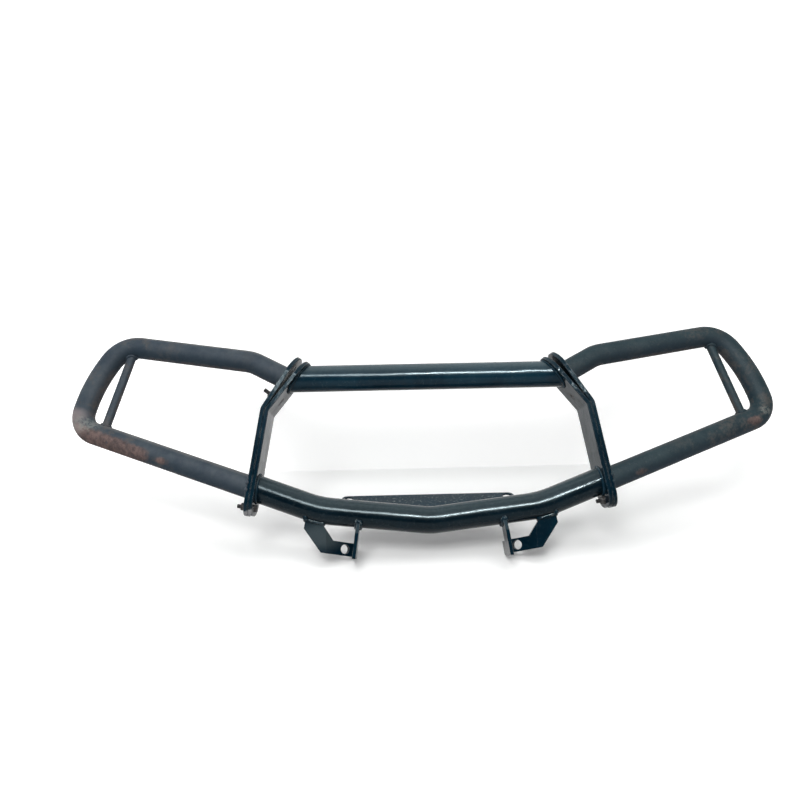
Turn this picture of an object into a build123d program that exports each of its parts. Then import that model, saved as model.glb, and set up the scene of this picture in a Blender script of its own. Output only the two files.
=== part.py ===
from build123d import *
from math import sin, cos, tan, radians
import os

# ATV front bumper. Row frame: X across, front faces -Y, Z up, origin between the rear plate's two holes.
# The bumper is drawn upright first (x, back, up from the lower tube's end axis), then leaned back.

# whole
LEAN = 30.0            # how far the centre section leans back
SET_BACK = 41.0        # lower tube end axis, in front of the rear plate's holes
SET_UP = 37.0          # lower tube end axis, above the rear plate's top face
TOUCH = 0.3            # clearance left where a curved face meets its neighbour

# tubes
CENTRE_OD = 38.0
CENTRE_WALL = 2.5
WING_OD = 32.0
WING_WALL = 2.0
STRUT_OD = 12.7

# lower centre tube, all in the plane back = 0
END_X = 240.6          # inner plate's inner face at the end axis
END_RUN = 84.9         # from there in to the outer bend
END_IN = 5.0           # the axis meets the end height this far short of the plate
BEND_X = END_X - END_RUN
BEND_DROP = 30.0
BEND_R = 150.0
V_DROP = 47.4          # middle of the V below the end axis
V_R = 90.0

# side plates, flat bar
BAR_T = 6.0
BAR_W = 60.0
BAR_LEAN = 18.0        # the bend lies this far inwards of the end axis
BAR_BEND_X = END_X - BAR_LEAN
BAR_BEND_Z = 108.0
BAR_BOTTOM = -36.0
BAR_FOLD_R = 6.0       # inside radius of the bend
BAR_FOOT_R = 22.0      # rounded lower corners
INNER_TILT = 38.0      # upper part of the inner plate, from upright
OUTER_TILT = 33.0      # the wing's plate is bent less and stands off at the top
TUBE_REACH = 63.5      # bend to the upper tube's axis
BAR_SHORT = 2.5        # the round end's middle lies this far short of the tube's axis
BAR_REACH = TUBE_REACH - BAR_SHORT
EDGE = 0.8             # chamfer along the flat bars' edges

# wing loop: a flat loop, swept back and leaned back from the centre section
WING_SWEEP = 7.3
WING_LEAN = 11.5
WING_OFF = 18.1        # start of the loop's plane, outwards of the end axis
WING_AT = (END_X + WING_OFF, -12.4, 6.7)
WING_TAIL = 0.15       # the lower leg runs on inwards by this share, to be cut at the plate
WING_LOWER_TIP = (254.0, 94.8)
WING_BOW = (243.0, 160.2)
WING_UPPER_TIP = (203.8, 225.6)
WING_SHOULDER = (0.0, 187.6)
WING_LEG_END = (-66.0, 150.5)
LOWER_TIP_R = 32.0
BOW_R = 209.0
UPPER_TIP_R = 43.0
SHOULDER_R = 52.0
STRUT_TOP_FROM = (-13.8, -30.2)  # strut's ends, from the loop's upper and lower tips
STRUT_FOOT_FROM = (-41.5, 3.4)

# lower brackets, placed from the lower tube's outer bend
STRAP_T = 5.0
STRAP_FRONT = -7.0     # front face of the upper leg
STRAP_FOLD_IN = 9.7    # fold and hole, inwards of the bend
STRAP_HOLE_IN = 35.1
STRAP_FOLD_X = BEND_X - STRAP_FOLD_IN
STRAP_HOLE_X = BEND_X - STRAP_HOLE_IN
STRAP_FOLD = 30.0
STRAP_HOLE_Z = -84.0
STRAP_HOLE_D = 13.0
STRAP_LEG_W = 18.6     # lower leg, its edges either side of the hole
STRAP_LEG_FALL = 9.6
STRAP_TOP_OUT = 18.3   # edges of the upper leg at the tube, outwards of the bend
STRAP_TOP_IN = 0.3
STRAP_KNEE_OUT = 20.8
STRAP_KNEE_IN = -5.7
STRAP_KNEE_Z = -54.5
STRAP_INNER_KNEE_Z = -49.5
STRAP_SLANT = 55.4     # slope of the part between the knees and the lower leg
STRAP_INNER_SLANT = 58.7
UPRIGHT_IN = 13.1      # inwards of the strap's hole
UPRIGHT_X = STRAP_HOLE_X - UPRIGHT_IN
UPRIGHT_T = 5.0
UPRIGHT_TILT = 8.0
UPRIGHT_BOTTOM = -97.5
UPRIGHT_FRONT = -27.0
UPRIGHT_BACK = 4.0
UPRIGHT_FOOT = 27.0    # back end of the foot
UPRIGHT_NECK = -15.0   # front edge at the tube
UPRIGHT_NECK_Z = -46.0
UPRIGHT_CHEST_Z = -63.0
FOOT_TOP = -78.0

# rear plate
REAR_T = 3.0
REAR_HOLE_X = 116.5
REAR_HOLE_D = 13.5
REAR_SIDE = 10.2       # from the hole's axis to the side and back edges
REAR_BACK = 9.5
REAR_CORNER = 9.0

# M6 screws; the upper ones are countersunk in the inner plates, with their nuts outside
BOLT_D = 6.0
HOLE_D = 6.6
HEX_AF = 10.0
HEAD_H = 4.2
NUT_H = 5.2
WASHER_D = 12.0
WASHER_T = 1.6
SINK_D = 12.0          # countersunk head, 90 degrees
SOCKET_AF = 4.0
SOCKET_DEEP = 2.0
LOWER_THREAD_OUT = 5.5
UPPER_THREAD_OUT = {-1: 9.0, 1: 1.2}  # left, right: the right screw is the shorter one
LOWER_BOLT_Z = -25.2
LOWER_BOLT_EDGE = 26.0  # from the bar's front edge
LOWER_BOLT_Y = LOWER_BOLT_EDGE - BAR_W / 2
UPPER_BOLT_UP = 22.0   # above the bend, along the tilted part
UPPER_BOLT_EDGE = 32.0
UPPER_BOLT_Y = UPPER_BOLT_EDGE - BAR_W / 2

FAR = 2 * END_X        # cutting shapes reach past everything


def unit(dx, dz):
    size = (dx * dx + dz * dz) ** 0.5
    return dx / size, dz / size


LOW_DIR = unit(BAR_BEND_X - END_X, BAR_BEND_Z)
LOW_OUT = (LOW_DIR[1], -LOW_DIR[0])


def tilt_dir(tilt):
    return -sin(radians(tilt)), cos(radians(tilt))


def tilt_out(tilt):
    return cos(radians(tilt)), sin(radians(tilt))


def add(p, d, s):
    return p[0] + d[0] * s, p[1] + d[1] * s


def mitre(p, n1, n2, off):
    k = off / (1 + n1[0] * n2[0] + n1[1] * n2[1])
    return p[0] + (n1[0] + n2[0]) * k, p[1] + (n1[1] + n2[1]) * k


INNER_BEND = (BAR_BEND_X, BAR_BEND_Z)
# the wing's plate lies flat on the inner plate up to the bend
OUTER_BEND = mitre(INNER_BEND, LOW_OUT, tilt_out(INNER_TILT), BAR_T)


def prism(points, y0, y1):
    face = make_face(Polyline([(x, y0, z) for x, z in points], close=True).edges())
    return Solid.extrude(face.face(), Vector(0, y1 - y0, 0))


def low_point(bend, up):
    return add(bend, LOW_DIR, (up - bend[1]) / LOW_DIR[1])


def bar(bend, tilt, fold_r):
    """Bent flat bar: its inner face runs up to the bend and then tilts inwards."""
    t_dir, t_out = tilt_dir(tilt), tilt_out(tilt)
    foot = low_point(bend, BAR_BOTTOM)
    top = add(bend, t_dir, BAR_REACH + BAR_W / 2)
    outside = [add(top, t_out, BAR_T), mitre(bend, LOW_OUT, t_out, BAR_T), add(foot, LOW_OUT, BAR_T)]
    pts = [foot, bend, top] + outside
    solid = prism(pts, -BAR_W / 2, BAR_W / 2)
    for at, radius in ((pts[1], fold_r), (pts[4], fold_r + BAR_T)):
        fold = solid.edges().filter_by(Axis.Y).sort_by_distance((at[0], 0, at[1]))[0]
        solid = solid.fillet(radius, [fold])
    # full round top
    mid = add(bend, t_dir, BAR_REACH)
    frame = Plane(origin=(mid[0], 0, mid[1]), x_dir=(t_dir[0], 0, t_dir[1]), z_dir=(t_out[0], 0, t_out[1]))
    waste = Pos(BAR_W / 2, 0, 0) * Box(BAR_W, BAR_W * 2, BAR_T * 6) - Cylinder(BAR_W / 2, BAR_T * 8)
    solid = solid - frame * waste
    # rounded foot corners
    down = (-LOW_DIR[0], 0, -LOW_DIR[1])
    frame = Plane(origin=(foot[0], 0, foot[1]), x_dir=down, z_dir=(LOW_OUT[0], 0, LOW_OUT[1]))
    for side in (-1, 1):
        at = side * (BAR_W / 2 - BAR_FOOT_R)
        corner = Pos(0, side * BAR_W / 2, 0) * Box(2 * BAR_FOOT_R, 2 * BAR_FOOT_R, BAR_T * 6)
        solid = solid - frame * (corner - Pos(-BAR_FOOT_R, at, 0) * Cylinder(BAR_FOOT_R, BAR_T * 8))
    across = [e for e in solid.edges().filter_by(Axis.Y) if e.length > BAR_W * 0.9]
    return solid.chamfer(EDGE, None, [e for e in solid.edges() if e not in across])


def bolt_frame(upper, side):
    """Frame on the inner plate's inner face, z pointing outwards along the bolt; side is -1 left, 1 right."""
    if upper:
        p = add(INNER_BEND, tilt_dir(INNER_TILT), UPPER_BOLT_UP)
        out, back = tilt_out(INNER_TILT), UPPER_BOLT_Y
    else:
        p = low_point(INNER_BEND, LOWER_BOLT_Z)
        out, back = LOW_OUT, LOWER_BOLT_Y
    return Plane(origin=(side * p[0], back, p[1]), x_dir=(0, 1, 0), z_dir=(side * out[0], 0, out[1]))


def outer_face_at(upper):
    """Height of the wing plate's outer face over the inner plate's inner face, on the bolt's axis."""
    if not upper:
        return 2 * BAR_T
    start = add(add(INNER_BEND, tilt_dir(INNER_TILT), UPPER_BOLT_UP), tilt_out(INNER_TILT), 0)
    face_at = mitre(OUTER_BEND, LOW_OUT, tilt_out(OUTER_TILT), BAR_T)
    n, d = tilt_out(OUTER_TILT), tilt_out(INNER_TILT)
    gap = (face_at[0] - start[0]) * n[0] + (face_at[1] - start[1]) * n[1]
    return gap / (n[0] * d[0] + n[1] * d[1])


def drilled(solid, side):
    for upper in (False, True):
        solid = solid - bolt_frame(upper, side) * Cylinder(HOLE_D / 2, 8 * BAR_T)
    return solid


def countersunk(solid, side):
    """Seat for the upper screw's head, as wide around it as the hole is around the shank."""
    return solid - bolt_frame(True, side) * cone(SINK_D + HOLE_D - BOLT_D, HOLE_D)


def cone(face_d, end_d):
    """90 degree cone from a plate's face down into it."""
    deep = (face_d - end_d) / 2
    return Pos(0, 0, deep / 2) * Cone(face_d / 2, end_d / 2, deep)


def hexagon(height, across=HEX_AF):
    return extrude(RegularPolygon(across / 3 ** 0.5, 6), height)


def hex_head(height):
    return Pos(0, 0, height) * hexagon(HEAD_H)


def fasteners(upper, side):
    """Screw, washer and nut on one axis. The lower nuts are all on the left of their plates."""
    top = outer_face_at(upper)
    if upper:
        # washers sit flat on a tilted plate, so the outer stack starts where its rim first touches
        top = top + tan(radians(INNER_TILT - OUTER_TILT)) * WASHER_D / 2
        thread_out, nut_outside = UPPER_THREAD_OUT[side], True
        head = cone(SINK_D, BOLT_D) - hexagon(SOCKET_DEEP, SOCKET_AF)
    else:
        thread_out, nut_outside = LOWER_THREAD_OUT, side < 0
        head = hex_head(-HEAD_H) if nut_outside else hex_head(top)
    length = top + WASHER_T + NUT_H + thread_out
    if nut_outside:
        washer_at, nut_at, middle = top, top + WASHER_T, length / 2
    else:
        washer_at, nut_at, middle = -WASHER_T, -WASHER_T - NUT_H, top - length / 2
    shank = Pos(0, 0, middle) * Cylinder(BOLT_D / 2, length)
    if upper:
        shank = shank - hexagon(SOCKET_DEEP, SOCKET_AF)
    ring = Pos(0, 0, WASHER_T / 2) * (Cylinder(WASHER_D / 2, WASHER_T) - Cylinder(HOLE_D / 2, WASHER_T * 2))
    nut = hexagon(NUT_H) - Pos(0, 0, NUT_H / 2) * Cylinder(HOLE_D / 2, NUT_H * 2)
    frame = bolt_frame(upper, side)
    return frame * (head + shank), frame * (Pos(0, 0, washer_at) * ring), frame * (Pos(0, 0, nut_at) * nut)


def bent_path(points, radii):
    """Straight runs joined by arcs, through 3D points."""
    pts = [Vector(*p) for p in points]
    edges, last = [], pts[0]
    for i, r in enumerate(radii, 1):
        a, b = (pts[i - 1] - pts[i]).normalized(), (pts[i + 1] - pts[i]).normalized()
        half = radians(a.get_angle(b)) / 2
        cut = r / tan(half)
        start, end = pts[i] + a * cut, pts[i] + b * cut
        middle = pts[i] + (a + b).normalized() * (r / sin(half) - r)
        edges += [Edge.make_line(last, start), Edge.make_three_point_arc(start, middle, end)]
        last = end
    edges.append(Edge.make_line(last, pts[-1]))
    return Wire(edges)


def rod(path, diameter):
    at = Plane(origin=path @ 0, z_dir=path % 0)
    return sweep(at * Circle(diameter / 2), path=path)


def tube(path, od, wall):
    return rod(path, od) - rod(path, od - 2 * wall)


def wing_plane():
    out = Vector(cos(radians(WING_SWEEP)), sin(radians(WING_SWEEP)), 0)
    flat = Vector(-sin(radians(WING_SWEEP)), cos(radians(WING_SWEEP)), 0)
    normal = flat * cos(radians(WING_LEAN)) - Vector(0, 0, sin(radians(WING_LEAN)))
    return Plane(origin=WING_AT, x_dir=out, z_dir=-normal)


def wing_points(*local):
    plane = wing_plane()
    return [plane.from_local_coords(Vector(u, v, 0)) for u, v in local]


def strut_ends():
    ends = ((WING_UPPER_TIP, STRUT_TOP_FROM), (WING_LOWER_TIP, STRUT_FOOT_FROM))
    return wing_points(*[(tip[0] + off[0], tip[1] + off[1]) for tip, off in ends])


def wing_path():
    inward = (-WING_TAIL * WING_LOWER_TIP[0], -WING_TAIL * WING_LOWER_TIP[1])
    pts = wing_points(inward, WING_LOWER_TIP, WING_BOW, WING_UPPER_TIP, WING_SHOULDER, WING_LEG_END)
    return bent_path(pts, [LOWER_TIP_R, BOW_R, UPPER_TIP_R, SHOULDER_R])


def plate_side(bend, tilt, far):
    """Everything on the centre side of a plate face, as one prism."""
    low, top = low_point(bend, -FAR), add(bend, tilt_dir(tilt), FAR)
    return prism([low, bend, top, (far, top[1]), (far, low[1])], -FAR, FAR)


def lower_path():
    slope = BEND_DROP / (END_RUN - END_IN)
    reach = END_X + CENTRE_OD / 2
    rise = (reach - BEND_X) * slope - BEND_DROP
    half = [(BEND_X, 0, -BEND_DROP), (reach, 0, rise)]
    pts = [(-x, y, z) for x, y, z in reversed(half)] + [(0, 0, -V_DROP)] + half
    return bent_path(pts, [BEND_R, V_R, BEND_R])


def strap():
    """Folded strap: upper leg under the tube, lower leg turned back towards the upright."""
    rise = tan(radians(STRAP_FOLD))
    inner, outer = UPRIGHT_X - 2 * UPRIGHT_T, BEND_X + CENTRE_OD
    back = STRAP_FRONT + (STRAP_FOLD_X - inner) * rise
    fold_in = STRAP_FOLD_X + STRAP_T * tan(radians(STRAP_FOLD / 2))
    plan = Polyline(
        (outer, STRAP_FRONT, 0), (STRAP_FOLD_X, STRAP_FRONT, 0), (inner, back, 0),
        (inner, back + STRAP_T / cos(radians(STRAP_FOLD)), 0), (fold_in, STRAP_FRONT + STRAP_T, 0),
        (outer, STRAP_FRONT + STRAP_T, 0), close=True)
    slab = Solid.extrude(Pos(0, 0, -FAR) * make_face(plan.edges()).face(), Vector(0, 0, FAR))
    fall, half = tan(radians(STRAP_LEG_FALL)), STRAP_LEG_W / 2 / cos(radians(STRAP_LEG_FALL))

    def leg(x, edge):
        return x, STRAP_HOLE_Z + (x - STRAP_HOLE_X) * fall + edge * half

    def slanted(knee, knee_z, slant, edge):
        """Where the slanted part's edge meets the lower leg's edge."""
        steep = tan(radians(slant))
        x = (leg(0, edge)[1] - knee_z + knee * steep) / (steep - fall)
        return leg(x, edge)

    knee_out, knee_in = BEND_X + STRAP_KNEE_OUT, BEND_X + STRAP_KNEE_IN
    outline = [
        (BEND_X + STRAP_TOP_OUT, -BEND_DROP), (BEND_X + STRAP_TOP_OUT, -BEND_DROP - CENTRE_OD * 0.3),
        (knee_out, STRAP_KNEE_Z), slanted(knee_out, STRAP_KNEE_Z, STRAP_SLANT, -1), leg(inner, -1),
        leg(inner, 1), slanted(knee_in, STRAP_INNER_KNEE_Z, STRAP_INNER_SLANT, 1),
        (knee_in, STRAP_INNER_KNEE_Z),
        (BEND_X + STRAP_TOP_IN, -BEND_DROP)]
    solid = slab & prism(outline, -FAR, FAR)
    hole = Plane(origin=hole_point(), x_dir=(0, 0, 1), z_dir=hole_axis())
    return solid - hole * Cylinder(STRAP_HOLE_D / 2, 8 * STRAP_T)


def hole_axis():
    return -sin(radians(STRAP_FOLD)), -cos(radians(STRAP_FOLD)), 0


def hole_point():
    """On the lower leg's front face."""
    return STRAP_HOLE_X, STRAP_FRONT + (STRAP_FOLD_X - STRAP_HOLE_X) * tan(radians(STRAP_FOLD)), STRAP_HOLE_Z


def upright_slab(y_z_points, x0, x1):
    face = make_face(Polyline([(x0, y, z) for y, z in y_z_points], close=True).edges())
    slab = Solid.extrude(face.face(), Vector(x1 - x0, 0, 0))
    return slab.rotate(Axis((UPRIGHT_X, 0, UPRIGHT_BOTTOM), (0, 1, 0)), -UPRIGHT_TILT)


def upright():
    pts = [(UPRIGHT_FRONT, UPRIGHT_BOTTOM), (UPRIGHT_FRONT, UPRIGHT_CHEST_Z),
           (UPRIGHT_NECK, UPRIGHT_NECK_Z), (UPRIGHT_NECK, -V_DROP), (UPRIGHT_BACK, -V_DROP),
           (UPRIGHT_BACK, FOOT_TOP), (UPRIGHT_FOOT, FOOT_TOP), (UPRIGHT_FOOT, UPRIGHT_BOTTOM)]
    return upright_slab(pts, UPRIGHT_X - UPRIGHT_T / 2, UPRIGHT_X + UPRIGHT_T / 2)


def rear_plate():
    """Drawn in the row frame, its top face at z = 0."""
    half = REAR_HOLE_X + REAR_SIDE
    nose = -SET_BACK - V_DROP * sin(radians(LEAN))
    side_y = nose + half * (V_DROP - BEND_DROP) / BEND_X * sin(radians(LEAN))
    pts = [(-half, REAR_BACK), (half, REAR_BACK), (half, side_y), (0, nose), (-half, side_y)]
    face = make_face(Polyline([(x, y, -REAR_T) for x, y in pts], close=True).edges()).face()
    solid = Solid.extrude(face, Vector(0, 0, REAR_T))
    corners = solid.edges().filter_by(Axis.Z).sort_by(Axis.Y)[-2:]
    solid = solid.fillet(REAR_CORNER, corners)
    for side in (-1, 1):
        solid = solid - Pos(side * REAR_HOLE_X, 0, -REAR_T / 2) * Cylinder(REAR_HOLE_D / 2, REAR_T * 3)
    return solid


def build():
    lean = Location((0, -SET_BACK, SET_UP), (-LEAN, 0, 0))
    parts = {}

    # centre section
    between = plate_side(INNER_BEND, INNER_TILT, 0)
    between = between + mirror(between, Plane.YZ)
    axis_z = BAR_BEND_Z + TUBE_REACH * cos(radians(INNER_TILT))
    upper = Edge.make_line((-END_X, 0, axis_z), (END_X, 0, axis_z))
    parts["upper_tube"] = tube(Wire([upper]), CENTRE_OD, CENTRE_WALL) & between
    low = lower_path()
    parts["lower_tube"] = tube(low, CENTRE_OD, CENTRE_WALL) & between
    around = rod(low, CENTRE_OD + 2 * TOUCH)
    inner = bar(INNER_BEND, INNER_TILT, BAR_FOLD_R)
    stay = upright() - around
    wide = [(-FAR, -FAR), (-FAR, 0), (FAR, 0), (FAR, -FAR)]
    behind = upright_slab(wide, 0, UPRIGHT_X + UPRIGHT_T / 2)
    hook = strap() - around - behind
    parts["rear_plate"] = rear_plate() - lean * around

    # wings
    outer = bar(OUTER_BEND, OUTER_TILT, BAR_FOLD_R + BAR_T)
    face_bend = mitre(OUTER_BEND, LOW_OUT, tilt_out(OUTER_TILT), BAR_T)
    loop_path = wing_path()
    loop = tube(loop_path, WING_OD, WING_WALL) - plate_side(face_bend, OUTER_TILT, 0)
    top, foot = strut_ends()
    along = (top - foot).normalized()
    strut = rod(Wire([Edge.make_line(foot - along * WING_OD, top + along * WING_OD)]), STRUT_OD)
    strut = strut - rod(loop_path, WING_OD + 2 * TOUCH)
    strut = max(strut.solids(), key=lambda s: s.volume)

    for side, name in ((-1, "left"), (1, "right")):
        def hand(solid):
            return mirror(solid, Plane.YZ) if side < 0 else solid
        parts["inner_plate_" + name] = countersunk(drilled(hand(inner), side), side)
        parts["wing_plate_" + name] = drilled(hand(outer), side)
        parts["bracket_strap_" + name] = hand(hook)
        parts["bracket_upright_" + name] = hand(stay)
        parts["wing_tube_" + name] = hand(loop)
        parts["wing_strut_" + name] = hand(strut)
        for upper_one, level in ((True, "upper"), (False, "lower")):
            bolt, washer, nut = fasteners(upper_one, side)
            parts[level + "_bolt_" + name] = bolt
            parts[level + "_washer_" + name] = washer
            parts[level + "_nut_" + name] = nut

    return {n: (p if n == "rear_plate" else lean * p) for n, p in parts.items()}


os.makedirs("parts", exist_ok=True)
for part_name, shape in build().items():
    solids = shape.solids() if hasattr(shape, "solids") else [shape]
    assert len(solids) == 1, (part_name, len(solids))
    export_step(solids[0], "parts/" + part_name + ".step")
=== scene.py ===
import bmesh
import bpy
import math
from mathutils import Matrix, Vector
from mathutils.bvhtree import BVHTree


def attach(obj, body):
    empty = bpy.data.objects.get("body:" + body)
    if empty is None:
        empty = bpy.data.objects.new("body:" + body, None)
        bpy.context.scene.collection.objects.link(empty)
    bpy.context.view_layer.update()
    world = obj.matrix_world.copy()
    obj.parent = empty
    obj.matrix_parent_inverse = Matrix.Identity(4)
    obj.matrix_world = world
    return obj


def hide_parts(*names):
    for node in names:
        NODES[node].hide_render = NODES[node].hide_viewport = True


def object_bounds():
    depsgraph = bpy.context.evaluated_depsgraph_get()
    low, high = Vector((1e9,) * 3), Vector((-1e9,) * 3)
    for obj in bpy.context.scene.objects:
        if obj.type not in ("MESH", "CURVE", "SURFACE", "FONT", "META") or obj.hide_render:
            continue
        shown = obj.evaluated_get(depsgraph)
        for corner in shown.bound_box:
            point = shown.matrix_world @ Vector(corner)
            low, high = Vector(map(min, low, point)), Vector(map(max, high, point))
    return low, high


# ATV front bumper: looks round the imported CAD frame. Metres, in the part's own frame.
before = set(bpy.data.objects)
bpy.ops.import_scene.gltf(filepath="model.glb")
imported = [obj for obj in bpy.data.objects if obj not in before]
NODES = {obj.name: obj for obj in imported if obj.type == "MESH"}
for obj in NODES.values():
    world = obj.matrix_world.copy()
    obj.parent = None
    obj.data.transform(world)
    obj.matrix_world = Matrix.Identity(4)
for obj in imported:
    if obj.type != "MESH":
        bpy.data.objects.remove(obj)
CAD_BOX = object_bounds()
SIDES = ("left", "right")

# camera, as fitted to the photograph
CAMERA_AT = Vector((-0.0646, -1.0622, 0.5242))
PITCH = math.radians(19.296)
YAW = math.radians(1.365)
ROLL = math.radians(-0.779)
LENS = 36.0
SENSOR = 36.0
SEEN_FROM, SEEN_TO = 0.01, 50

# surroundings: the floor and the wall glow for the camera and in reflections, and only scatter other light
FLOOR_Z = CAD_BOX[0][2] - 0.0002
WALL_Y = 0.24
ROOM = 4.0
FLOOR_COLOURS = ((0.80, 0.81, 0.80), (0.84, 0.84, 0.835))
FLOOR_BOUNCE = (0.45, 0.45, 0.45)
FLOOR_GLOW = 0.17
WALL_GLOW = 0.47
EDGE_GLOW = 0.25
EDGE_FROM, EDGE_TO = 0.2, 0.6

# sky: how bright it is low down, overhead, and overhead behind the wall
DARK_ROUND = 0.08
OVERHEAD = 0.7
BEHIND = 0.15
SKY_COLOUR = (0.97, 0.99, 1.0)

# weld beads: radii, ripple, and the lumps that climb the front of the tube at each bracket
BEAD_R = 0.0026
WING_BEAD_R = 0.0019
SMALL_BEAD_R = 0.0014
STRUT_BEAD_R = 0.0022
BRACKET_BEAD_R = 0.0031
BEAD_STEP = 0.0005
RIPPLE = 0.0016
BEAD_EVEN, BEAD_RIPPLE, BEAD_WOBBLE = 0.90, 0.14, 0.07
WOBBLE = 410
END_BLOB = 0.3
BEAD_SIDES = 8
SAME_POINT = 1e-6
SEAM_GAP = 0.0006
SHARP = 0.35
UP_THE_FRONT = Vector((0, -0.0003, 0.0004))
STRAP_CLIMB = 17
UPRIGHT_CLIMB = 6
STITCHES = ((0.04, 0.14), (0.45, 0.55), (0.86, 0.96))

# screws: the crown is the chamfer's circle on a hexagon, as a share of its width
PITCH_M6 = 0.001
THREAD_DEEP = 0.00055
THREADED = 0.018
HEX_HEAD_H = 0.0042
SUNK_HEAD_D = 0.012
SOCKET_AF = 0.004
SOCKET_DEEP = 0.002
CROWN = 0.48
CROWN_ANGLE = math.radians(30)
FACE_MIDDLE = 0.0004
THREAD_END = 0.0007
STEPS_A_PITCH = 8
STEPS_ROUND = 48

# gloss paint: the coat, what lies on it and what shows through, with a painted sheen on upward faces,
# painted glints on the weld beads and painted shade for darker copies of the coat
GLOSS_DEEP, GLOSS_LIGHT = (0.002, 0.014, 0.026), (0.003, 0.024, 0.042)
# painted shade: the colour that darker copies of the coat are mixed towards
GLOSS_SHADE = (0.0, 0.001, 0.002)
GLOSS_TINT = (0.80, 0.96, 1.0, 1)
# dust with a painted sheen: laid on upward faces, where it also stands in for the bright sky's reflection
DUST_AND_SHEEN = (0.085, 0.115, 0.125)
# specks: dust on the coat; on the weld beads, partly painted glints
SPECK_AND_GLINT = (0.16, 0.18, 0.175)
WORN_EDGE = (0.16, 0.17, 0.17)
# painted light: the pale colour on the left strap's upper leg, where light from the left falls
STRAP_PAINTED_LIGHT = (0.085, 0.105, 0.110)
BARE_METAL = (0.40, 0.40, 0.41)

# satin paint on the wings, with painted light on the left and on top and painted shade on the right and
# below
# the left wing lighter, partly from fading and partly painted light from the left; the right wing darker,
# painted shade
WING_LEFT = ((0.022, 0.035, 0.050), (0.046, 0.060, 0.073))
WING_RIGHT = ((0.004, 0.020, 0.028), (0.013, 0.032, 0.040))
FLECK = (0.075, 0.088, 0.092)
# painted shade on the wings' undersides
SHADED = (0.007, 0.019, 0.032)
BROWN = (0.105, 0.080, 0.068)
# lighter paint on top faces: partly fading, partly painted light
FADED_AND_LIT = (0.165, 0.160, 0.150)
MOTTLE = (0.085, 0.072, 0.062)
RUST_DARK, RUST_LIGHT = (0.060, 0.042, 0.040), (0.160, 0.106, 0.094)
PINK_SCUFF = (0.27, 0.22, 0.215)
PALE_SCUFF = (0.24, 0.25, 0.225)
UNDERSIDE = (0, -0.5, -0.87)
UPPER_SIDE = (0, 0.45, 0.89)
LOWER_SIDE = (0, -0.3, -0.95)
RUST_SIDE = (0, -0.45, -0.89)

# screws' steel
STEEL_DARK, STEEL_LIGHT = (0.016, 0.018, 0.020), (0.070, 0.069, 0.067)
STEEL_BROWN = (0.10, 0.06, 0.04)

# where rust, scuffs, bare metal on the lower ears and painted light on a strap sit: middle, reach, softness
RUST = (
    ((-0.506, 0.017, 0.100), 0.012, 0.022), ((-0.483, 0.011, 0.098), 0.012, 0.022),
    ((-0.460, 0.002, 0.092), 0.012, 0.020), ((-0.437, -0.010, 0.084), 0.012, 0.016),
    ((-0.421, -0.014, 0.081), 0.006, 0.012), ((-0.380, -0.026, 0.078), 0.002, 0.009),
    ((0.479, 0.016, 0.104), 0.002, 0.010), ((0.300, -0.055, 0.057), 0.001, 0.009))
PINK = (((-0.521, 0.041, 0.124), 0.006, 0.012), ((-0.522, 0.029, 0.110), 0.006, 0.012))
PALE = (((-0.495, 0.029, 0.116), 0.007, 0.012), ((0.503, 0.029, 0.114), 0.002, 0.010))
EARS = (((-0.242, -0.073, 0.016), 0.006, 0.009), ((0.247, -0.062, 0.006), 0.004, 0.010))
# painted light: the lit patch on the left strap's upper leg
STRAP_LIGHT_SPOT = (((-0.152, -0.078, -0.017), 0.006, 0.022),)


# camera and node trees
def make_camera():
    forward = Vector((math.sin(YAW) * math.cos(PITCH), math.cos(YAW) * math.cos(PITCH), -math.sin(PITCH)))
    right = Vector((math.cos(YAW), -math.sin(YAW), 0))
    up = right.cross(forward)
    x = right * math.cos(ROLL) + up * math.sin(ROLL)
    y = up * math.cos(ROLL) - right * math.sin(ROLL)
    camera = bpy.data.objects.new("camera", bpy.data.cameras.new("camera"))
    camera.matrix_world = Matrix.Translation(CAMERA_AT) @ Matrix((x, y, -forward)).transposed().to_4x4()
    camera.data.lens = LENS
    camera.data.sensor_width = SENSOR
    camera.data.clip_start, camera.data.clip_end = SEEN_FROM, SEEN_TO
    bpy.context.scene.collection.objects.link(camera)
    bpy.context.scene.camera = camera


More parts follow.
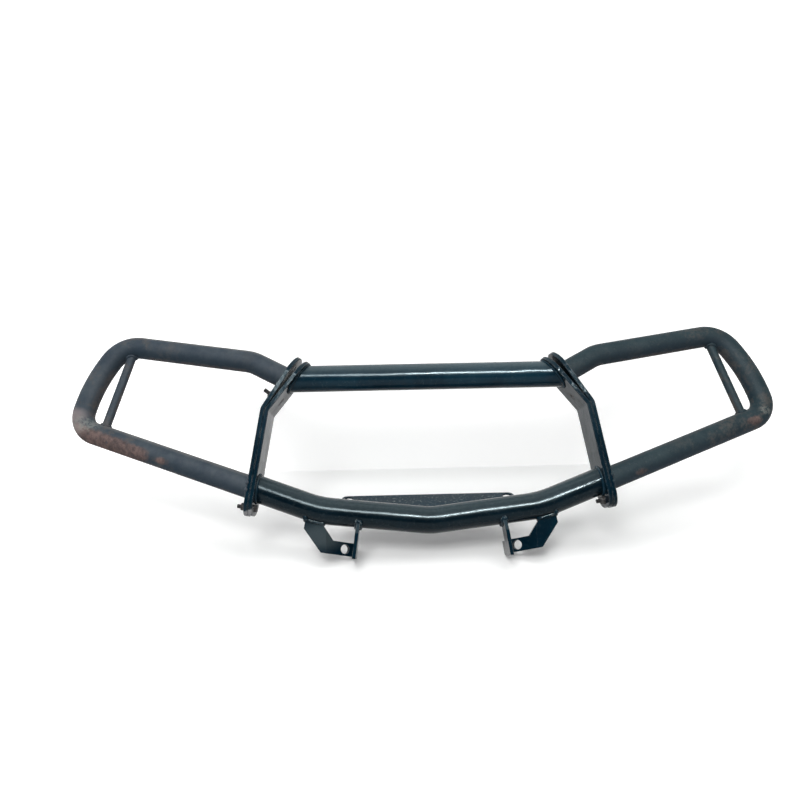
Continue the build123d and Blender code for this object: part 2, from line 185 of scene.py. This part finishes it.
class Tree:
    """Short names for building a node tree."""

    def __init__(self, tree):
        self.tree = tree
        self.object_place = None
        tree.nodes.clear()

    def node(self, kind, **settings):
        made = self.tree.nodes.new(kind)
        for name, value in settings.items():
            setattr(made, name, value)
        return made

    def put(self, socket, value):
        if isinstance(value, bpy.types.NodeSocket):
            self.tree.links.new(value, socket)
        elif isinstance(value, tuple) and len(value) == 3 and socket.type == "RGBA":
            socket.default_value = (*value, 1)
        else:
            socket.default_value = value

    def math(self, operation, a, b=0.0, clamp=False):
        made = self.node("ShaderNodeMath", operation=operation, use_clamp=clamp)
        self.put(made.inputs[0], a)
        self.put(made.inputs[1], b)
        return made.outputs[0]

    def times(self, a, b):
        return self.math("MULTIPLY", a, b)

    def mix(self, share, a, b):
        made = self.node("ShaderNodeMix", data_type="RGBA")
        self.put(made.inputs[0], share)
        self.put(made.inputs[6], a)
        self.put(made.inputs[7], b)
        return made.outputs[2]

    def blend(self, share, a, b):
        made = self.node("ShaderNodeMix", data_type="FLOAT")
        self.put(made.inputs[0], share)
        self.put(made.inputs[2], a)
        self.put(made.inputs[3], b)
        return made.outputs[0]

    def step(self, value, low, high):
        made = self.node("ShaderNodeMapRange", interpolation_type="SMOOTHSTEP")
        self.put(made.inputs[0], value)
        made.inputs[1].default_value = low
        made.inputs[2].default_value = high
        return made.outputs[0]

    def place(self):
        if self.object_place is None:
            self.object_place = self.node("ShaderNodeTexCoord").outputs["Object"]
        return self.object_place

    def noise(self, scale, detail=3.0, rough=0.55):
        made = self.node("ShaderNodeTexNoise")
        self.put(made.inputs["Vector"], self.place())
        made.inputs["Scale"].default_value = scale
        made.inputs["Detail"].default_value = detail
        made.inputs["Roughness"].default_value = rough
        return made.outputs["Fac"]

    def near(self, middle, reach, soft):
        """1 within reach of a point, fading to 0 over soft; twice as far across the bumper."""
        away = self.node("ShaderNodeVectorMath", operation="SUBTRACT")
        self.put(away.inputs[0], self.place())
        away.inputs[1].default_value = middle
        flat = self.node("ShaderNodeVectorMath", operation="MULTIPLY")
        self.put(flat.inputs[0], away.outputs[0])
        flat.inputs[1].default_value = (0.5, 1.0, 1.0)
        far = self.node("ShaderNodeVectorMath", operation="LENGTH")
        self.put(far.inputs[0], flat.outputs[0])
        return self.math("SUBTRACT", 1.0, self.step(far.outputs["Value"], reach, reach + soft))

    def spots(self, places):
        total = None
        for middle, reach, soft in places:
            one = self.near(middle, reach, soft)
            total = one if total is None else self.math("MAXIMUM", total, one)
        return total

    def dot(self, a, b):
        made = self.node("ShaderNodeVectorMath", operation="DOT_PRODUCT")
        self.put(made.inputs[0], a)
        self.put(made.inputs[1], b)
        return made.outputs["Value"]

    def edges(self, radius):
        """Above 0 where the surface bends away within radius: worn edges."""
        bevel = self.node("ShaderNodeBevel", samples=8)
        bevel.inputs["Radius"].default_value = radius
        normal = self.node("ShaderNodeNewGeometry").outputs["Normal"]
        return self.math("SUBTRACT", 1.0, self.dot(bevel.outputs[0], normal), clamp=True)

    def facing(self, axis):
        """Dot of the surface normal with a fixed direction."""
        return self.dot(self.node("ShaderNodeNewGeometry").outputs["Normal"], axis)

    def bump(self, height, strength, distance, normal=None):
        made = self.node("ShaderNodeBump")
        made.inputs["Strength"].default_value = strength
        made.inputs["Distance"].default_value = distance
        self.put(made.inputs["Height"], height)
        if normal is not None:
            self.put(made.inputs["Normal"], normal)
        return made.outputs[0]


# paints and metal
def material(name):
    made = bpy.data.materials.new(name)
    made.use_nodes = True
    t = Tree(made.node_tree)
    out = t.node("ShaderNodeOutputMaterial")
    shader = t.node("ShaderNodeBsdfPrincipled")
    t.put(out.inputs[0], shader.outputs[0])
    return made, t, shader.inputs


def gloss_paint(name, roughest, dust, speckle, shine=0.16, wear=0.3, dark=0.0):
    """Gloss blue-black powder coat with orange peel, a dusty coat with a painted sheen on upward faces,
    specks that on the weld beads are partly painted glints, worn edges, painted light on one strap, bare
    metal on the ears, and painted shade mixed in by dark.
    """
    made, t, s = material(name)
    cloud = t.noise(14, 4, 0.6)
    colour = t.mix(t.step(cloud, 0.35, 0.7), GLOSS_DEEP, GLOSS_LIGHT)
    # painted shade: darker copies of the same coat, mixed towards the shade colour by dark
    colour = t.mix(dark, colour, GLOSS_SHADE)
    # dust and a painted sheen: the coat is lighter on upward faces, standing in partly for the reflection of
    # the bright sky above
    top_dust_and_sheen = t.times(t.step(t.facing((0, 0, 1)), 0.45, 1.0), t.blend(t.noise(260, 3, 0.6), 0.5, 1.0))
    colour = t.mix(t.times(top_dust_and_sheen, dust), colour, DUST_AND_SHEEN)
    specks = t.step(t.noise(230, 4, 0.7), 0.54, 0.66)
    # specks: dust, and on the weld beads partly painted glints
    colour = t.mix(t.times(specks, speckle), colour, SPECK_AND_GLINT)
    worn = t.times(t.step(t.edges(0.0012), 0.01, 0.10), t.step(t.noise(90, 4, 0.7), 0.36, 0.56))
    colour = t.mix(t.times(worn, wear), colour, WORN_EDGE)
    # painted light: a pale patch on the left strap's upper leg, standing in for light falling on it
    colour = t.mix(t.times(t.spots(STRAP_LIGHT_SPOT), 0.5), colour, STRAP_PAINTED_LIGHT)
    bare = t.step(t.times(t.spots(EARS), t.step(t.noise(230, 5, 0.75), 0.36, 0.58)), 0.2, 0.7)
    t.put(s["Base Color"], t.mix(t.times(bare, 0.75), colour, BARE_METAL))
    sideways = t.step(t.math("ABSOLUTE", t.facing((1, 0, 0))), 0.5, 0.9)
    rough = t.blend(t.step(cloud, 0.3, 0.75), roughest * 0.75, roughest)
    t.put(s["Roughness"], t.blend(bare, t.blend(sideways, rough, 0.14), 0.45))
    s["Specular IOR Level"].default_value = shine
    s["Specular Tint"].default_value = GLOSS_TINT
    peel = t.bump(t.noise(420, 2, 0.5), 0.08, 0.0003)
    wavy = t.bump(t.noise(60, 2, 0.5), 0.18, 0.002, peel)
    t.put(s["Normal"], t.bump(t.noise(12, 1, 0.5), 0.4, 0.008, wavy))
    return made


def wing_coat(t, across, fine):
    """The wings' paint before its wear: greyer on the left, partly from fading and partly painted light from
    the left, with painted shade on the right; painted shade below; brown low down; lighter on top, partly
    from fading and partly painted light.
    """
    cloud = t.step(t.noise(26, 5, 0.7), 0.3, 0.7)
    # painted light and shade: lighter left of the middle, darker right of it, partly fading as well
    right_shaded_and_fresher = t.step(across, -0.1, 0.1)
    colour = t.mix(right_shaded_and_fresher, t.mix(cloud, *WING_LEFT), t.mix(cloud, *WING_RIGHT))
    colour = t.mix(t.times(t.step(fine, 0.5, 0.75), 0.20), colour, FLECK)
    # painted shade: darker on faces turned down
    shaded = t.step(t.facing(UNDERSIDE), -0.3, 0.75)
    colour = t.mix(t.times(shaded, 0.75), colour, SHADED)
    outward = t.step(t.math("ABSOLUTE", t.facing((1, 0, 0))), 0.55, 0.95)
    low = t.math("MAXIMUM", t.step(t.facing(LOWER_SIDE), 0.55, 0.95), outward)
    brown = t.times(low, t.step(t.noise(45, 4, 0.7), 0.42, 0.62))
    colour = t.mix(t.times(brown, 0.5), colour, BROWN)
    # lighter on top faces, more on the left: partly fading, partly painted light from above and from the
    # left
    faded_and_lit = t.times(t.step(t.facing(UPPER_SIDE), 0.70, 1.0), t.blend(t.noise(60, 5, 0.7), 0.4, 1.0))
    return t.mix(t.times(faded_and_lit, t.blend(right_shaded_and_fresher, 0.85, 0.25)), colour, FADED_AND_LIT)


def satin_paint():
    """Satin black on the wings, mottled at their ends, with rust and pale scuffs."""
    made, t, s = material("wing_satin")
    fine = t.noise(300, 3, 0.6)
    parts = t.node("ShaderNodeSeparateXYZ")
    t.put(parts.inputs[0], t.place())
    across = parts.outputs[0]
    colour = wing_coat(t, across, fine)
    ends = t.step(t.math("ABSOLUTE", across), 0.32, 0.44)
    mottle = t.times(t.step(t.noise(38, 6, 0.75), 0.48, 0.66), t.blend(ends, 0.10, 0.5))
    colour = t.mix(mottle, colour, MOTTLE)
    grain = t.noise(95, 6, 0.72)
    under = t.step(t.facing(RUST_SIDE), -0.75, 0.0)
    rust = t.step(t.times(t.times(t.spots(RUST), under), t.step(grain, 0.20, 0.58)), 0.10, 0.75)
    rusty = t.mix(t.step(t.noise(110, 6, 0.7), 0.32, 0.68), RUST_DARK, RUST_LIGHT)
    colour = t.mix(t.times(rust, 0.85), colour, rusty)
    pink = t.times(t.spots(PINK), t.blend(grain, 0.5, 1.0))
    colour = t.mix(t.times(pink, 0.8), colour, PINK_SCUFF)
    pale = t.step(t.times(t.spots(PALE), t.step(t.noise(150, 6, 0.75), 0.32, 0.64)), 0.15, 0.9)
    t.put(s["Base Color"], t.mix(t.times(pale, 0.42), colour, PALE_SCUFF))
    rough = t.blend(t.step(fine, 0.3, 0.7), 0.62, 0.78)
    t.put(s["Roughness"], t.blend(rust, rough, 0.85))
    s["Specular IOR Level"].default_value = 0.20
    peel = t.bump(t.noise(420, 3, 0.6), 0.25, 0.0004)
    t.put(s["Normal"], t.bump(t.times(grain, rust), 0.5, 0.0010, peel))
    return made


def dull_steel():
    """Blackened zinc on the screws, with brown in patches."""
    made, t, s = material("fastener_dull")
    cloud = t.noise(260, 4, 0.65)
    colour = t.mix(t.step(cloud, 0.35, 0.7), STEEL_DARK, STEEL_LIGHT)
    brown = t.times(t.step(t.noise(420, 4, 0.7), 0.55, 0.7), 0.5)
    t.put(s["Base Color"], t.mix(brown, colour, STEEL_BROWN))
    s["Metallic"].default_value = 0.7
    t.put(s["Roughness"], t.blend(cloud, 0.38, 0.62))
    t.put(s["Normal"], t.bump(t.noise(900, 2, 0.5), 0.3, 0.0003))
    return made


# weld beads along the seams of the solids
def world_mesh(node):
    """A merged copy of a CAD node's mesh."""
    mesh = bmesh.new()
    mesh.from_mesh(node.data)
    mesh.transform(node.matrix_world)
    bmesh.ops.remove_doubles(mesh, verts=mesh.verts, dist=SAME_POINT)
    return mesh


def add_piece(name, points, faces, finish, smooth=True):
    mesh = bpy.data.meshes.new(name)
    mesh.from_pydata([tuple(p) for p in points], [], faces)
    mesh.polygons.foreach_set("use_smooth", [smooth] * len(mesh.polygons))
    mesh.materials.append(finish)
    piece = bpy.data.objects.new(name, mesh)
    bpy.context.scene.collection.objects.link(piece)
    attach(piece, "root")
    return piece


def seams(node, other):
    """Chains of points where a sharp edge of node lies on the other node, the longest first."""
    mesh, rest = world_mesh(node), world_mesh(other)
    tree = BVHTree.FromBMesh(rest)
    touching = {v for v in mesh.verts if tree.find_nearest(v.co)[3] < SEAM_GAP}
    links = {}
    for edge in mesh.edges:
        a, b = edge.verts
        sharp = len(edge.link_faces) == 2 and edge.calc_face_angle() > SHARP
        if sharp and a in touching and b in touching:
            links.setdefault(a, []).append(b)
            links.setdefault(b, []).append(a)
    chains = []
    while links:
        start = min(links, key=lambda v: (len(links[v]) != 1, v.index))
        chain = [start]
        while links.get(chain[-1]):
            here = chain[-1]
            following = links[here].pop()
            links[following].remove(here)
            chain.append(following)
        for v in [v for v in links if not links[v]]:
            del links[v]
        chains.append([v.co.copy() for v in chain])
    mesh.free()
    rest.free()
    return sorted(chains, key=length_of, reverse=True)


def length_of(points):
    return sum((b - a).length for a, b in zip(points, points[1:]))


def resample(points, step):
    """The same chain at even steps."""
    total = length_of(points)
    count = max(4, round(total / step))
    made, walked, i = [], 0.0, 0
    for n in range(count + 1):
        target = total * n / count
        while i < len(points) - 2 and walked + (points[i + 1] - points[i]).length < target:
            walked += (points[i + 1] - points[i]).length
            i += 1
        part = (points[i + 1] - points[i]).length or 1.0
        made.append(points[i].lerp(points[i + 1], min(1.0, (target - walked) / part)))
    return made


def bead_size(radius, walked, to_end):
    """Radius of a bead at one place: rippled along it, and lumped, then rounded off, at an open end."""
    ripple = BEAD_RIPPLE * abs(math.sin(math.pi * walked / RIPPLE))
    size = radius * (BEAD_EVEN + ripple + BEAD_WOBBLE * math.sin(walked * WOBBLE))
    if to_end is None:
        return size
    size *= math.sqrt(min(1.0, (to_end + 0.0002) / (1.5 * radius)))
    return size * (1 + END_BLOB * math.exp(-((to_end - radius) / (1.5 * radius)) ** 2))


def bead_mesh(chain, radius, start):
    """A rippled weld bead along a chain, its ends rounded off unless the chain is closed."""
    points = resample(chain, BEAD_STEP)
    closed = (points[0] - points[-1]).length < BEAD_STEP
    if closed:
        points = points[:-1]
    count = len(points)
    ring_points, faces = [], []
    for i, p in enumerate(points):
        before = points[i - 1] if closed or i else p
        after = points[(i + 1) % count] if closed or i < count - 1 else p
        along = (after - before).normalized()
        across = along.orthogonal() if i == 0 else (last - along * last.dot(along))
        last = across.normalized()
        third = along.cross(last)
        to_end = None if closed else min(i, count - 1 - i) * BEAD_STEP
        size = bead_size(radius, i * BEAD_STEP, to_end)
        for k in range(BEAD_SIDES):
            angle = 2 * math.pi * k / BEAD_SIDES
            ring_points.append(p + (last * math.cos(angle) + third * math.sin(angle)) * size)
    for i in range(count if closed else count - 1):
        here, there = start + i * BEAD_SIDES, start + (i + 1) % count * BEAD_SIDES
        for k in range(BEAD_SIDES):
            m = (k + 1) % BEAD_SIDES
            faces.append((here + k, there + k, there + m, here + m))
    if not closed:
        faces.append(tuple(start + k for k in range(BEAD_SIDES)))
        faces.append(tuple(start + (count - 1) * BEAD_SIDES + k for k in reversed(range(BEAD_SIDES))))
    return ring_points, faces


def weld(name, chains, radius, finish):
    points, faces = [], []
    for chain in chains:
        more, ringed = bead_mesh(chain, radius, len(points))
        points += more
        faces += ringed
    add_piece("weld_" + name, points, faces, finish)


def stitches(chain, spans):
    """Short runs of a chain, as shares of its length."""
    points = resample(chain, BEAD_STEP)
    return [points[int(a * len(points)):int(b * len(points))] for a, b in spans]


def climbing(chain, tube, steps):
    """A short chain from the outer front end of a seam, up the front of the tube."""
    mesh = world_mesh(tube)
    tree = BVHTree.FromBMesh(mesh)
    points = [min(chain, key=lambda p: p.y * 2 - abs(p.x))]
    for _ in range(steps):
        points.append(tree.find_nearest(points[-1] + UP_THE_FRONT)[0])
    mesh.free()
    return points


def all_welds(centre, bead, wing):
    for side in SIDES:
        plate, ear = NODES["inner_plate_" + side], NODES["wing_plate_" + side]
        loop, lower = NODES["wing_tube_" + side], NODES["lower_tube"]
        weld("upper_tube_" + side, seams(NODES["upper_tube"], plate)[:1], BEAD_R, centre)
        weld("lower_tube_" + side, seams(lower, plate)[:1], BEAD_R, centre)
        weld("wing_tube_" + side, seams(loop, ear)[:2], WING_BEAD_R, wing)
        weld("strut_" + side, seams(NODES["wing_strut_" + side], loop)[:2], STRUT_BEAD_R, wing)
        for kind, steps in (("bracket_strap_", STRAP_CLIMB), ("bracket_upright_", UPRIGHT_CLIMB)):
            chains = seams(NODES[kind + side], lower)[:1]
            chains.append(climbing(chains[0], lower, steps))
            weld(kind + side, chains, BRACKET_BEAD_R, bead)
    back = seams(NODES["rear_plate"], NODES["lower_tube"])[:2]
    runs = [run for chain in back for run in stitches(chain, STITCHES)]
    weld("rear_plate", runs, SMALL_BEAD_R, centre)


# screws and nuts, with their threads and chamfers
def flat_faces(node):
    """Total area, area-weighted middle and normal of each group of coplanar faces, the largest first."""
    mesh = world_mesh(node)
    groups = {}
    for face in mesh.faces:
        normal = face.normal
        key = tuple(round(c, 2) for c in normal) + (round(face.calc_center_median().dot(normal), 5),)
        area, middle, _ = groups.get(key, (0.0, Vector(), None))
        size = face.calc_area()
        groups[key] = (area + size, middle + face.calc_center_median() * size, normal.copy())
    points = [v.co.copy() for v in mesh.verts]
    mesh.free()
    ordered = sorted(groups.values(), key=lambda g: -g[0])
    return [(area, middle / area, normal) for area, middle, normal in ordered], points


def axis_frame(node):
    """Frame on a screw's head or a nut's face, z along the axis into it, x across a flat; and its length."""
    groups, points = flat_faces(node)
    top, along = groups[0][1], -groups[0][2]
    flat = next((g[2] for g in groups[1:] if abs(g[2].dot(along)) < 0.05), along.orthogonal())
    x = (flat - along * flat.dot(along)).normalized()
    place = Matrix((x, along.cross(x), along)).transposed().to_4x4()
    place.translation = top
    local = [place.inverted() @ p for p in points]
    return place, max(p.z for p in local), local


def rings_mesh(rings, close_start=False, close_end=False):
    """Quads between rings of the same number of points."""
    points = [p for ring in rings for p in ring]
    n, faces = len(rings[0]), []
    for i in range(len(rings) - 1):
        for k in range(n):
            m = (k + 1) % n
            faces.append((i * n + k, i * n + m, (i + 1) * n + m, (i + 1) * n + k))
    if close_start:
        faces.append(tuple(reversed(range(n))))
    if close_end:
        faces.append(tuple(range((len(rings) - 1) * n, len(rings) * n)))
    return points, faces


def circle(radius, z):
    return [Vector((radius * math.cos(a), radius * math.sin(a), z)) for a in angles()]


def angles():
    return [2 * math.pi * k / STEPS_ROUND for k in range(STEPS_ROUND)]


def hex_ring(across, z, lift, toward):
    """A hexagon's outline; where it passes the circle of its chamfer it drops by 30 degrees."""
    ring = []
    for a in angles():
        r = across / 2 / math.cos((a + math.pi / 6) % (math.pi / 3) - math.pi / 6)
        drop = max(0.0, r - across * CROWN) * math.tan(CROWN_ANGLE) * lift
        ring.append(Vector((r * math.cos(a), r * math.sin(a), z + toward * drop)))
    return ring


def hex_body(across, z0, z1, bore, chamfer_end):
    """Hexagonal head or nut from z0 to z1 with chamfered corners."""
    rings = [circle(bore, z0), circle(across * CROWN, z0), hex_ring(across, z0, 1, 1)]
    rings += [hex_ring(across, z1, chamfer_end, -1), circle(across * CROWN, z1), circle(bore, z1)]
    return rings


def threaded(radius, z0, z1):
    """A screw thread as rings whose radius follows the helix, with a chamfered end."""
    rings, steps = [], round((z1 - z0) / PITCH_M6 * STEPS_A_PITCH)
    for i in range(steps + 1):
        z = z0 + (z1 - z0) * i / steps
        top = min(radius, radius - THREAD_END + (z1 - z))
        ring = []
        for a in angles():
            phase = (z / PITCH_M6 - a / (2 * math.pi)) % 1.0
            deep = THREAD_DEEP * (1 - abs(2 * phase - 1)) if z > z0 else 0
            r = min(top, radius - deep)
            ring.append(Vector((r * math.cos(a), r * math.sin(a), z)))
        rings.append(ring)
    return rings


def dress(name, place, rings, finish, closed=False):
    """A detailed piece that stands for a screw or a nut."""
    if closed:
        rings = rings + rings[:1]
    points, faces = rings_mesh(rings, close_start=not closed, close_end=not closed)
    piece = add_piece(name, [place @ p for p in points], faces, finish)
    piece.data.polygons.foreach_set("use_smooth", [False] * len(faces))
    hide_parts(name.replace("detailed_", ""))


def hex_screw(across, shank):
    """Head of a lower screw, from its top face down to the shank."""
    return [circle(FACE_MIDDLE, 0)] + hex_body(across, 0, HEX_HEAD_H, shank, 0)[1:]


def sunk_screw(shank):
    """Countersunk head of an upper screw, with its socket."""
    socket = [hex_ring(SOCKET_AF, SOCKET_DEEP, 0, 1), hex_ring(SOCKET_AF, 0, 0, 1)]
    cone = [circle(SUNK_HEAD_D / 2, 0), circle(shank, SUNK_HEAD_D / 2 - shank)]
    return [circle(FACE_MIDDLE, SOCKET_DEEP)] + socket + cone


def dress_screws(finish):
    for side in SIDES:
        for level in ("upper", "lower"):
            bolt, nut = NODES[level + "_bolt_" + side], NODES[level + "_nut_" + side]
            place, length, local = axis_frame(bolt)
            shank = max(math.hypot(p.x, p.y) for p in local if p.z > length * 0.9)
            across = 2 * max(p.x for p in local)
            rings = sunk_screw(shank) if level == "upper" else hex_screw(across, shank)
            rings += threaded(shank, length - THREADED, length)
            dress("detailed_" + bolt.name, place, rings, finish)
            place, height, local = axis_frame(nut)
            across = 2 * max(p.x for p in local)
            bore = min(math.hypot(p.x, p.y) for p in local) - THREAD_DEEP
            dress("detailed_" + nut.name, place, hex_body(across, 0, height, bore, 1), finish, closed=True)


# floor, wall, sky and lamps
def flat_mesh(name, corners, finish):
    mesh = bpy.data.meshes.new(name)
    mesh.from_pydata(corners, [], [tuple(range(len(corners)))])
    mesh.materials.append(finish)
    made = bpy.data.objects.new(name, mesh)
    bpy.context.scene.collection.objects.link(made)


def pale_stage(name, strength):
    """Pale plaster. Seen from behind it is clear, so that it hides nothing in other views."""
    finish = bpy.data.materials.new(name)
    finish.use_nodes = True
    t = Tree(finish.node_tree)
    out = t.node("ShaderNodeOutputMaterial")
    plain = t.node("ShaderNodeBsdfDiffuse")
    glow = t.node("ShaderNodeEmission")
    path = t.node("ShaderNodeLightPath")
    seen = t.math("MAXIMUM", path.outputs["Is Camera Ray"], path.outputs["Is Glossy Ray"])
    seen = t.math("MAXIMUM", seen, path.outputs["Is Transmission Ray"])
    colour = t.mix(t.step(t.noise(3, 3), 0.3, 0.7), *FLOOR_COLOURS)
    t.put(plain.inputs[0], t.mix(seen, FLOOR_BOUNCE, colour))
    across = t.node("ShaderNodeSeparateXYZ")
    t.put(across.inputs[0], t.place())
    aside = t.step(t.math("ABSOLUTE", across.outputs[0]), EDGE_FROM, EDGE_TO)
    t.put(glow.inputs[1], t.times(seen, t.blend(aside, strength, strength + EDGE_GLOW)))
    lit = t.node("ShaderNodeAddShader")
    t.put(lit.inputs[0], plain.outputs[0])
    t.put(lit.inputs[1], glow.outputs[0])
    one_way = t.node("ShaderNodeMixShader")
    t.put(one_way.inputs[0], t.node("ShaderNodeNewGeometry").outputs["Backfacing"])
    t.put(one_way.inputs[1], lit.outputs[0])
    t.put(one_way.inputs[2], t.node("ShaderNodeBsdfTransparent").outputs[0])
    t.put(out.inputs[0], one_way.outputs[0])
    return finish


def backdrop():
    r, z, y = ROOM, FLOOR_Z, WALL_Y
    floor = [(-r, -r, z), (r, -r, z), (r, r, z), (-r, r, z)]
    wall = [(-r, y, z), (r, y, z), (r, y, z + r), (-r, y, z + r)]
    flat_mesh("floor", floor, pale_stage("pale_floor", FLOOR_GLOW))
    flat_mesh("wall", wall, pale_stage("pale_wall", WALL_GLOW))


def sky():
    """Bright overhead in front, dim behind the wall, dark low down, white where the camera sees it."""
    world = bpy.data.worlds.new("world")
    bpy.context.scene.world = world
    world.use_nodes = True
    t = Tree(world.node_tree)
    out = t.node("ShaderNodeOutputWorld")
    back = t.node("ShaderNodeBackground")
    parts = t.node("ShaderNodeSeparateXYZ")
    t.put(parts.inputs[0], t.node("ShaderNodeTexCoord").outputs["Generated"])
    overhead = t.step(parts.outputs[2], 0.45, 0.9)
    behind = t.step(parts.outputs[1], -0.1, 0.1)
    level = t.blend(t.times(overhead, t.blend(behind, OVERHEAD, BEHIND)), DARK_ROUND, 1.0)
    level = t.blend(t.node("ShaderNodeLightPath").outputs["Is Camera Ray"], level, 1.0)
    back.inputs[0].default_value = (*SKY_COLOUR, 1)
    t.put(back.inputs[1], level)
    t.put(out.inputs[0], back.outputs[0])


def lamp(name, at, target, size, power, diffuse=True, glossy=True):
    data = bpy.data.lights.new(name, "AREA")
    data.shape = "RECTANGLE"
    data.size, data.size_y = size
    data.energy = power
    made = bpy.data.objects.new(name, data)
    made.location = at
    made.rotation_euler = (Vector(target) - Vector(at)).to_track_quat("-Z", "Y").to_euler()
    made.visible_diffuse = diffuse
    made.visible_glossy = glossy
    bpy.context.scene.collection.objects.link(made)


def paint_nodes(centre, lower, plate, rear, wing, steel):
    for name, node in NODES.items():
        finish = centre
        if name.startswith(("wing_tube", "wing_strut")):
            finish = wing
        elif name.startswith(("inner_plate", "wing_plate", "bracket")):
            finish = plate
        elif name == "lower_tube":
            finish = lower
        elif name == "rear_plate":
            finish = rear
        elif any(word in name for word in ("bolt", "washer", "nut")):
            finish = steel
        node.data.materials.clear()
        node.data.materials.append(finish)


# the scene
bpy.context.scene.view_settings.view_transform = "Standard"
make_camera()
backdrop()
sky()
lamp("soft_key", (-0.5, -1.9, 2.2), (0, 0.05, 0.1), (1.0, 1.0), 50, glossy=False)
lamp("left_fill", (-2.2, -0.8, 1.0), (-0.3, 0.05, 0.1), (1.0, 1.0), 12, glossy=False)
lamp("overhead", (0.1, 0.0, 2.2), (0, 0.0, 0.0), (1.8, 1.8), 28, glossy=False)
lamp("strip", (0.28, -1.06, 1.19), (0.28, 0, 0.12), (0.48, 0.06), 46, diffuse=False)
lamp("strip_end", (-0.17, -1.06, 1.19), (-0.17, 0, 0.12), (0.42, 0.30), 16, diffuse=False)

CENTRE = gloss_paint("centre_gloss", roughest=0.24, dust=0.75, speckle=0.05)
# the lower tube: a darker copy of the coat, painted shade
LOWER = gloss_paint("lower_gloss", roughest=0.24, dust=0.5, speckle=0.05, dark=0.7)
PLATE = gloss_paint("plate_gloss", roughest=0.12, dust=0.3, speckle=0.04, shine=0.09, wear=0.8, dark=0.35)
REAR = gloss_paint("rear_gloss", roughest=0.6, dust=0.1, speckle=0.6, dark=0.35)
# weld beads: many light specks, partly scuffs and partly painted glints
BEAD = gloss_paint("bead_gloss", roughest=0.2, dust=0.3, speckle=0.6, dark=0.35)
WING, STEEL = satin_paint(), dull_steel()
paint_nodes(CENTRE, LOWER, PLATE, REAR, WING, STEEL)
all_welds(CENTRE, BEAD, WING)
dress_screws(STEEL)
